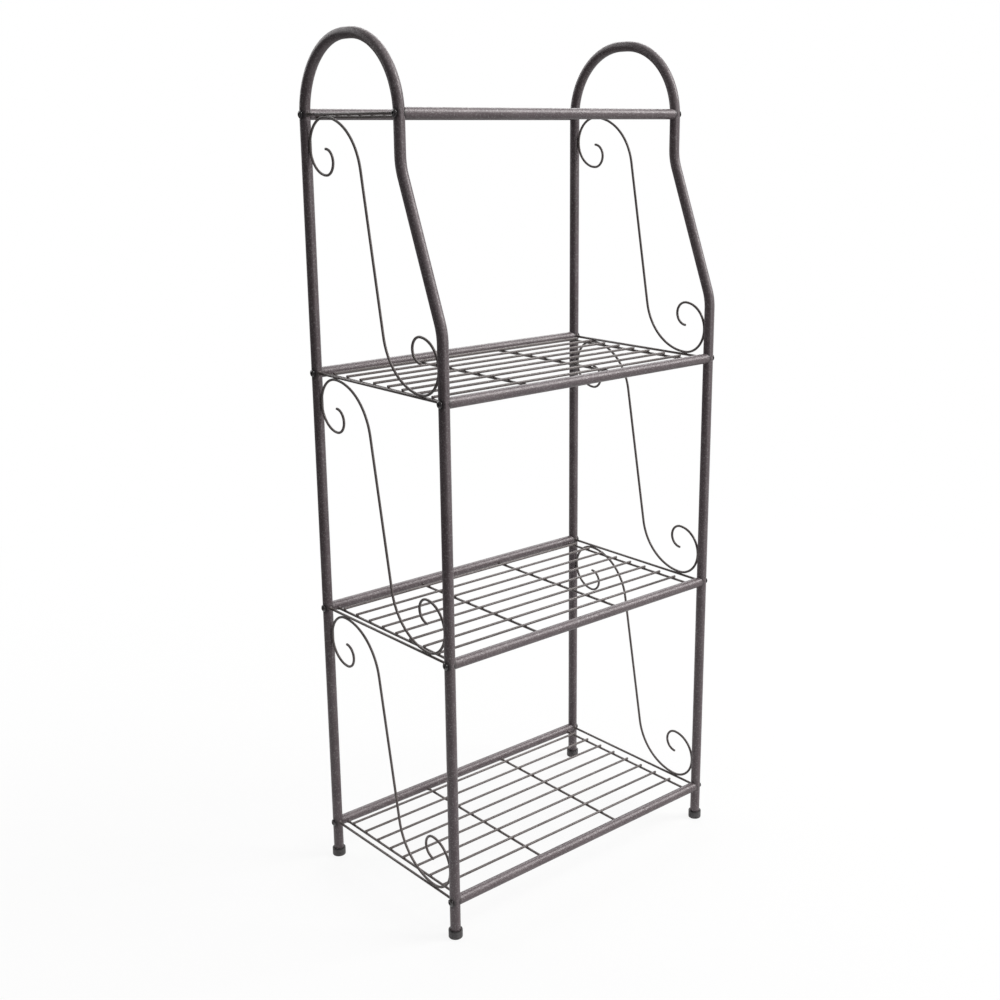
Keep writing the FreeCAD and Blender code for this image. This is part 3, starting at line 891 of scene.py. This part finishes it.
        bends = ((2 * self.loop - self.curl, math.pi, self.curl_rings),
                 (self.loop, math.pi, self.loop_rings),
                 (self.bowl, sweep, self.bowl_rings))
        path = Sweep(work, spot(1, 2 * self.loop - 2 * self.curl), DEPTHWAYS)
        for rise, angle, rings in bends:
            path.bend(spot(1, rise), ALONG, angle, rings)
        path.run(straight, WIRE_PARTS)
        for rise, angle, rings in reversed(bends):
            path.bend(spot(-1, rise), -ALONG, angle, rings)
        path.close(STAND.wire_edge, STAND.wire_end_rub)
        for way in (1, -1):
            self.leg_bead.put(work, spot(way, self.loop) + Vector((0, -way * (self.loop + wire), 0)))
            self.rung_bead.put(work, spot(way, 0) + Vector((0, 0, -way * wire)))
        work.complete(self.finishes, Slot.WIRE, label)


@dataclass(frozen=True)
class DomedScrew:
    """A domed socket screw along X, with a rolled thread."""

    head_radius: float = 5.7
    head_height: float = 2.8
    head_edge: float = 0.5
    head_chamfer: float = 0.15
    dome_steps: int = 7
    shank: float = 3.0
    length: float = 30.0
    tip: float = 0.9
    tip_chamfer: float = 0.5
    tip_end: float = 1.6
    pitch: float = 1.0
    thread_length: float = 20.0
    thread_depth: float = 0.55
    thread_start: float = 1.7
    thread_trim: float = 3.0
    thread_steps: int = 14
    runout: float = 0.8
    ridge: Sequence[float] = (0.0, 0.34, 0.50, 0.84)
    ridge_sunk: float = 0.15
    ridge_gap: float = 0.02
    socket: float = 2.0
    socket_depth: float = 2.1
    socket_rim: float = 0.62
    socket_edge: float = 0.1
    socket_rub: float = 0.3
    sides: int = 24

    @property
    def root(self) -> float:
        """Radius at the bottom of the thread."""
        return self.shank - self.thread_depth

    def outline(self) -> list[tuple[float, float]]:
        """Half of the screw's section, from its tip to the brim of its socket.

        Returns:
            Points as distance along the screw and radius.
        """
        centre = ((self.head_height ** 2 - self.head_edge ** 2 - self.head_radius ** 2)
                  / (2 * (self.head_height - self.head_edge)))
        ball = self.head_height - centre
        low, high = math.asin(self.head_radius / ball), math.asin((self.socket + self.socket_rim) / ball)
        leans = [low + (high - low) * step / self.dome_steps for step in range(self.dome_steps + 1)]
        dome = [(centre + ball * math.cos(lean), ball * math.sin(lean)) for lean in leans]
        end, root = -self.length, self.root
        return [(end + self.tip, 0.0), (end + self.tip, root - self.tip_chamfer),
                (end + self.tip_end, root), (end + self.thread_length, root),
                (end + self.thread_length + self.runout, self.shank), (0.0, self.shank),
                (0.0, self.head_radius - self.head_chamfer), (self.head_chamfer, self.head_radius), *dome]

    def mesh(self) -> bpy.types.Mesh:
        """Make one screw, with the middle of its head's underside at the origin and its head towards +X.

        Returns:
            The screw's mesh, in millimetres.
        """
        work = Workpiece("domed_screw")
        outline = self.outline()
        brim = outline[-1][0]
        body = turn_profile(work, outline, Vector(), ALONG, self.sides, False)
        top = [vert for vert in body if abs(vert.co.x - brim) < TOUCH]
        facing = Matrix.Translation((brim - self.socket_edge, 0, 0)) @ Matrix.Rotation(math.pi / 2, 4, "Y")
        hexagon = bmesh.ops.create_circle(work.bm, segments=self.sides, radius=self.socket,
                                          matrix=facing)["verts"]
        for vert in hexagon:
            corner = math.atan2(vert.co.z, vert.co.y) % (math.pi / 3) - math.pi / 6
            vert.co.y, vert.co.z = vert.co.y / math.cos(corner), vert.co.z / math.cos(corner)
        walls = edges_among(hexagon)
        bmesh.ops.bridge_loops(work.bm, edges=edges_among(top) + walls)
        for vert in (*top, *hexagon):
            vert[work.rub] = self.socket_rub
        floor = only_verts(bmesh.ops.extrude_edge_only(work.bm, edges=walls)["geom"])
        bmesh.ops.translate(work.bm, verts=floor, vec=Vector((-self.socket_depth, 0, 0)))
        bmesh.ops.contextual_create(work.bm, geom=edges_among(floor))
        self.thread(work)
        return as_mesh(work.name, work.bm)

    def thread(self, work: Workpiece) -> None:
        """Wind the thread's ridge round the shank.

        Args:
            work: The piece that the screw belongs to.
        """
        start = -self.length + self.thread_start
        low, high = self.root - self.ridge_sunk, self.shank - self.ridge_gap
        section = zip(self.ridge, (low, high, high, low))
        points = [work.bm.verts.new(Vector((start + reach, 0.0, radius))) for reach, radius in section]
        ring = [work.bm.edges.new(pair) for pair in zip(points, points[1:] + points[:1])]
        turns = (self.thread_length - self.thread_trim) / self.pitch
        made = bmesh.ops.spin(work.bm, geom=points + ring, cent=Vector(), axis=ALONG,
                              angle=turns * math.tau, dvec=ALONG * (self.pitch / self.thread_steps),
                              steps=round(turns * self.thread_steps), use_merge=False, use_duplicate=False)
        bmesh.ops.contextual_create(work.bm, geom=ring)
        bmesh.ops.contextual_create(work.bm, geom=edges_among(only_verts(made["geom_last"])))


@dataclass
class Shelf:
    """Two rails with the wires welded between them and the screws that hold them."""

    tier: Tier
    finishes: Finishes
    screw: bpy.types.Mesh
    deck_first: float = 23.4
    deck_pitch: float = 35.1
    deck_count: int = 8
    deck_reach: float = 253.0
    deck_bead: WeldBead = WeldBead((2.2, 2.2, 1.0))
    cross_drop: float = 4.05
    cross_end: float = 6.0
    cross_weld: WeldFillet = WeldFillet(reach=2.6, spread=3.5)
    end_wire: float = 251.0
    saddle_gap: float = 0.15
    saddle_edge: float = 0.12
    saddle_rub: float = 0.2
    rail_sides: int = 40
    rail_rings: int = 24
    joint_reach: float = 11.0
    joint_rings: int = 5
    # Painted shade at the rail's ends: gone at this distance from the leg's axis, fading in over the given
    # length.
    shade_end: float = 9.5
    shade_fade: float = 5.0

    def build(self) -> None:
        """Make and dress the shelf's pieces."""
        self.rail("back", STAND.back_leg)
        self.rail("front", self.tier.front)
        self.deck()
        self.crossings("end", self.end_wire)
        self.crossings("cross", self.end_wire / 3)
        self.screws()
        self.inserts()

    def rail(self, place: str, y: float) -> None:
        """A rail tube whose ends are cut to sit on the legs.

        Args:
            place: Back or front.
            y: Where the rail's axis is.
        """
        label = f"{self.tier.label}_{place}_rail"
        work = Workpiece(f"{label}_tube")
        near = STAND.half_spacing - STAND.tube_radius
        path = Sweep(work, Vector((-near, y, self.tier.height)), ALONG, STAND.tube_walls, self.rail_sides)
        path.run(self.joint_reach, self.joint_rings)
        path.run(2 * near - 2 * self.joint_reach, self.rail_rings)
        path.run(self.joint_reach, self.joint_rings)
        saddle = STAND.tube_radius + self.saddle_gap
        for rings, way in ((path.first, -1.0), (path.last, 1.0)):
            for vert in {vert for ring in rings for vert in ring_verts(ring)}:
                beside = vert.co.y - y
                vert.co.x = way * (STAND.half_spacing - math.sqrt(saddle ** 2 - beside ** 2))
        path.close(self.saddle_edge, self.saddle_rub)
        # Painted shade: the rail's ends are darkened where they meet the legs.
        for vert in work.bm.verts:
            from_leg = STAND.half_spacing - abs(vert.co.x)
            vert[work.painted_shade] = min(1.0, max(0.0, (self.shade_end - from_leg) / self.shade_fade))
        work.complete(self.finishes, Slot.TUBE, label)

    def deck(self) -> None:
        """The lengthwise wires, with a weld bead on every wire below."""
        work = Workpiece(f"{self.tier.label}_deck_wire_row")
        height = self.tier.height
        for row in range(self.deck_count):
            y = STAND.back_leg - self.deck_first - row * self.deck_pitch
            path = Sweep(work, Vector((-self.deck_reach, y, height)), ALONG)
            path.run(2 * self.deck_reach, WIRE_PARTS)
            path.close(STAND.wire_edge, STAND.wire_end_rub)
            for x in (-self.end_wire, -self.end_wire / 3, self.end_wire / 3, self.end_wire):
                self.deck_bead.put(work, Vector((x, y, height - self.cross_drop / 2)))
        work.complete(self.finishes, Slot.WIRE, f"{self.tier.label}_deck_wires")

    def crossings(self, kind: str, reach: float) -> None:
        """A pair of wires under the lengthwise ones, welded to both rails.

        Args:
            kind: End or cross, as the node is named.
            reach: How far each wire is from the middle of the shelf.
        """
        work = Workpiece(f"{self.tier.label}_{kind}_wire_pair")
        front, height = self.tier.front, self.tier.height
        low = height - self.cross_drop
        seat_radius = STAND.tube_radius + STAND.weld_gap
        inset = math.sqrt(seat_radius ** 2 - self.cross_drop ** 2)
        level = math.sqrt(STAND.tube_radius ** 2 - self.cross_drop ** 2)
        face = tube_face(Across.RAIL, height, self.cross_drop)
        for x in (-reach, reach):
            path = Sweep(work, Vector((x, front + inset, low)), DEPTHWAYS)
            path.run(self.cross_end)
            path.run(STAND.back_leg - front - 2 * inset - 2 * self.cross_end, WIRE_PARTS)
            path.run(self.cross_end)
            ends = ((path.first[0], front, 1.0), (path.last[0], STAND.back_leg, -1.0))
            for ring, rail, way in ends:
                for vert in ring_verts(ring):
                    off = vert.co.z - height
                    vert.co.y = rail + way * math.sqrt(seat_radius ** 2 - off ** 2)
            path.close(0.0)
            for _, rail, way in ends:
                self.cross_weld.put(work, Vector((x, rail + way * level, low)), Vector((0, way, 0)), face)
        work.complete(self.finishes, Slot.WIRE, f"{self.tier.label}_{kind}_wires")

    def screws(self) -> None:
        """The four screws through the legs into the rails."""
        work = Workpiece(f"{self.tier.label}_domed_screws")
        for way, turn in ((-1.0, math.pi), (1.0, 0.0)):
            for y in (STAND.back_leg, self.tier.front):
                seat = Vector((way * (STAND.half_spacing + STAND.tube_radius), y, self.tier.height))
                before = len(work.bm.verts)
                work.bm.from_mesh(self.screw)
                work.bm.verts.ensure_lookup_table()
                made = work.bm.verts[before:]
                bmesh.ops.rotate(work.bm, verts=made, cent=Vector(), matrix=Matrix.Rotation(turn, 3, "Z"))
                bmesh.ops.translate(work.bm, verts=made, vec=seat)
        work.complete(self.finishes, Slot.SCREW, f"{self.tier.label}_screws")

    def inserts(self) -> None:
        """The threaded inserts inside the rails, which keep the shape that the CAD gives them."""
        node = f"{self.tier.label}_inserts"
        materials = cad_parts[node].data.materials
        materials.clear()
        materials.append(self.finishes[Slot.INSERT])
        LOG.info("%s: the CAD node itself, with its finish", node)


@dataclass
class FootCap:
    """A moulded cup on the foot of a leg.

    The hollow's points are height and radius. The base's are height and distance in from the side.
    The rim's are distance down from the top and in from the side, the mouth's down and out from the bore.
    """

    side: Side
    place: str
    y: float
    finishes: Finishes
    radius: float = 10.8
    bore: float = 8.1
    height: float = 13.0
    floor: float = 3.0
    hollow: Outline = ((0.5, 0.0), (0.5, 5.4), (0.35, 5.9), (0.0, 6.4))
    base: Outline = ((0.0, 1.3), (0.12, 0.75), (0.45, 0.32), (1.0, 0.06), (1.6, 0.0))
    rim: Outline = ((1.9, 0.0), (0.7, 0.0), (0.2, 0.2), (0.0, 0.7))
    mouth: Outline = ((0.0, 0.5), (0.25, 0.12), (0.6, 0.0))
    # How far down from the top the painted shade on the rim reaches.
    shaded_rim: float = 0.9
    sides: int = 40

    def build(self) -> None:
        """Make and dress the cap."""
        label = f"{self.side.label}_{self.place}_foot"
        work = Workpiece(f"{label}_cup")
        outline = [*self.hollow, *((up, self.radius - inward) for up, inward in self.base),
                   *((self.height - down, self.radius - inward) for down, inward in self.rim),
                   *((self.height - down, self.bore + outward) for down, outward in self.mouth),
                   (self.floor, self.bore), (self.floor, 0.0)]
        at = Vector((self.side.x, self.y, 0.0))
        # Painted shade on the rim round the mouth, where the tube enters.
        for vert in turn_profile(work, outline, at, UP, self.sides, False):
            vert[work.painted_shade] = 1.0 if vert.co.z > self.height - self.shaded_rim else 0.0
        work.complete(self.finishes, Slot.FOOT, f"{label}_cap")


# Studio

@dataclass(frozen=True)
class SoftBox:
    """A studio lamp aimed at the stand."""

    name: str
    place: Triple
    size: tuple[float, float]
    power: float
    colour: Colour = WHITE
    aim: Triple = (0.0, 0.0, 0.68)

    def hang(self) -> None:
        """Put the lamp in the scene."""
        lamp = bpy.data.lights.new(self.name, "AREA")
        lamp.shape = "RECTANGLE"
        lamp.size, lamp.size_y = self.size
        lamp.energy = self.power
        lamp.color = self.colour
        holder = in_scene(lamp)
        holder.location = self.place
        holder.rotation_euler = (Vector(self.aim) - Vector(self.place)).to_track_quat("-Z", "Y").to_euler()
        holder.visible_camera = False


WARM_WHITE: Colour = (1.0, 0.99, 0.98)
LAMPS = (
    SoftBox("key_box", (4.96, -3.70, 5.50), (3.0, 5.0), 520.0, WARM_WHITE),
    SoftBox("strip_box", (0.32, -2.57, 0.85), (0.7, 2.2), 17.0, WARM_WHITE, (0.0, 0.0, 0.7)),
    SoftBox("top_box", (0.0, -0.4, 4.6), (2.4, 2.4), 20.0),
    SoftBox("rim_box", (-1.1, 4.0, 2.7), (3.0, 3.0), 60.0),
    SoftBox("back_box", (2.6, 2.8, 3.2), (4.0, 3.0), 95.0),
)


@dataclass
class Studio:
    """The white room, in metres: floor, lamps, sky and camera."""

    floor_reach: float = 30.0
    floor_sides: int = 64
    floor_white: Colour = (0.86, 0.86, 0.86)
    bounce_span: Span = (0.6, 1.4)
    bounce: Span = (0.70, 0.10)
    glow_span: Span = (0.7, 2.2)
    glow: Span = (0.88, 1.0)
    sky_light: float = 0.18
    dim_side: float = 0.08
    bright_side: Triple = (0.48, -0.35, 0.80)
    sky_turn: Span = (0.0, 0.7)
    floor_turn: Span = (0.0, 1.2)
    camera_place: Triple = (-1.3336, -1.5509, 1.1821)
    camera_yaw: float = 0.7268
    camera_pitch: float = 0.2587
    camera_roll: float = 0.0031
    focal_pixels: float = 1321.2
    centre_pixel: tuple[float, float] = (540.0, 475.0)
    image_side: float = 1000.0
    sensor: float = 36.0

    def build(self) -> None:
        """Make the room round the stand."""
        SCENE.view_settings.view_transform = "Standard"
        self.sky()
        self.floor()
        for lamp in LAMPS:
            lamp.hang()
        self.camera()
        LOG.info("studio: floor, sky, %d lamps and camera", len(LAMPS))

    @staticmethod
    def seen_directly(graph: NodeGraph, room: Socket) -> Socket:
        """How much shows of what the camera sees straight, in a reflection or through glass.

        Args:
            graph: The nodes that read it.
            room: How much of it a reflection shows.

        Returns:
            The largest of the three rays.
        """
        rays = graph.add("LightPath").outputs
        glossy = graph.maths("MULTIPLY", rays["Is Glossy Ray"], room)
        straight = graph.maths("MAXIMUM", rays["Is Camera Ray"], glossy)
        return graph.maths("MAXIMUM", straight, rays["Is Transmission Ray"])

    def room(self, graph: NodeGraph, place: Socket, turn: Span) -> Socket:
        """How much of the white a reflection shows: less on the side away from the key lamp.

        Args:
            graph: The nodes that read it.
            place: The coordinates that it is read from.
            turn: Where the dim side ends and the white one starts, measured towards the bright side.

        Returns:
            The share, from the dim side's to 1.
        """
        across = graph.add("VectorMath", place, self.bright_side)
        across.operation = "DOT_PRODUCT"
        return graph.spread(across.outputs["Value"], turn, (self.dim_side, 1.0))

    def sky(self) -> None:
        """White behind the stand, and a softer fill from all round."""
        world = bpy.data.worlds.new("white_room")
        world.use_nodes = True
        graph = NodeGraph(world.node_tree)
        fill = graph.add("Background", Color=WHITE, Strength=self.sky_light)
        white = graph.add("Background", Color=WHITE)
        share = self.room(graph, graph.add("TexCoord").outputs["Generated"], self.sky_turn)
        seen = self.seen_directly(graph, share)
        blend = graph.add("MixShader", seen, fill.outputs[0], white.outputs[0])
        graph.add("OutputWorld", Surface=blend.outputs[0])
        SCENE.world = world

    def floor(self) -> None:
        """A white floor that keeps a faint shadow and throws light back near the stand."""
        bm = bmesh.new()
        bmesh.ops.create_circle(bm, cap_ends=True, segments=self.floor_sides, radius=self.floor_reach)
        mesh = as_mesh("floor", bm)
        make = Shader("white_floor")
        away = make.add("VectorMath", make.place)
        away.operation = "LENGTH"
        far = away.outputs["Value"]
        bounce = make.spread(far, self.bounce_span, self.bounce)
        mirrored = make.maths("MAXIMUM", self.room(make, make.place, self.floor_turn), bounce)
        seen = self.seen_directly(make, mirrored)
        matt = make.add("BsdfDiffuse", Color=make.mix(seen, bounce, self.floor_white))
        share = make.maths("MULTIPLY", seen, make.spread(far, self.glow_span, self.glow))
        blend = make.add("MixShader", share, matt.outputs[0], make.add("Emission").outputs[0])
        make.add("OutputMaterial", Surface=blend.outputs[0])
        mesh.materials.append(make.material)
        floor = in_scene(mesh)

    def camera(self) -> None:
        """The camera, close to the photograph's view, with a shift that leaves every other view whole."""
        data = bpy.data.cameras.new("camera")
        data.sensor_width = self.sensor
        data.lens = self.focal_pixels / self.image_side * self.sensor
        data.shift_x = 0.5 - self.centre_pixel[0] / self.image_side
        data.shift_y = self.centre_pixel[1] / self.image_side - 0.5
        turn = (Matrix.Rotation(-self.camera_yaw, 4, "Z")
                @ Matrix.Rotation(math.pi / 2 - self.camera_pitch, 4, "X")
                @ Matrix.Rotation(-self.camera_roll, 4, "Z"))
        SCENE.camera = in_scene(data)
        SCENE.camera.matrix_world = Matrix.Translation(self.camera_place) @ turn


def main() -> None:
    """Build the stand and its studio."""
    logging.basicConfig(level=logging.INFO, format="%(message)s")
    finishes = {slot: finish.material() for slot, finish in FINISHES.items()}
    screw = DomedScrew().mesh()
    for side in Side:
        SideFrame(side, finishes).build()
        for place, y in (("back", STAND.back_leg), ("front", STAND.front_leg)):
            FootCap(side, place, y, finishes).build()
    for tier in (Tier.LOWER, Tier.MIDDLE, Tier.UPPER):
        Shelf(tier, finishes, screw).build()
    Shelf(Tier.TOP, finishes, screw, deck_first=29.0, deck_pitch=29.0, deck_count=7, saddle_gap=0.45).build()
    bpy.data.meshes.remove(screw)
    Studio().build()


if __name__ == "__main__":
    main()
